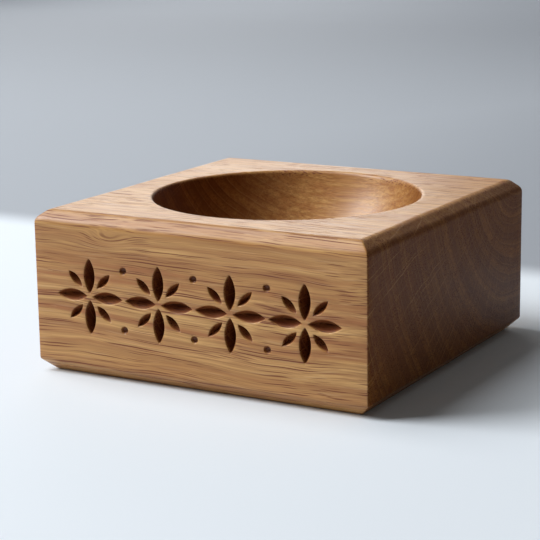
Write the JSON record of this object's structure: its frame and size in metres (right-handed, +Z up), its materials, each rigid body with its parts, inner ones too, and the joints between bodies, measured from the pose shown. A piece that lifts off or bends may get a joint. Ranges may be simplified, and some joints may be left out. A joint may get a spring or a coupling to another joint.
{
  "type": "salt bowl",
  "caption": "Square block of solid oak with a round turned hollow for salt in its top and a carved row of petalled stars across its front.",
  "frame": {"origin": "middle of the underside, where the block stands", "axes": "+Z up out of the bowl, -Y out of the carved front, X along the front and along the grain"},
  "size_m": [0.12, 0.12, 0.0535],
  "materials": {
    "oak": "solid oak, sanded and oiled to a soft satin"
  },
  "bodies": {
    "root": {"bowl_block": "oak"}
  },
  "joints": []
}
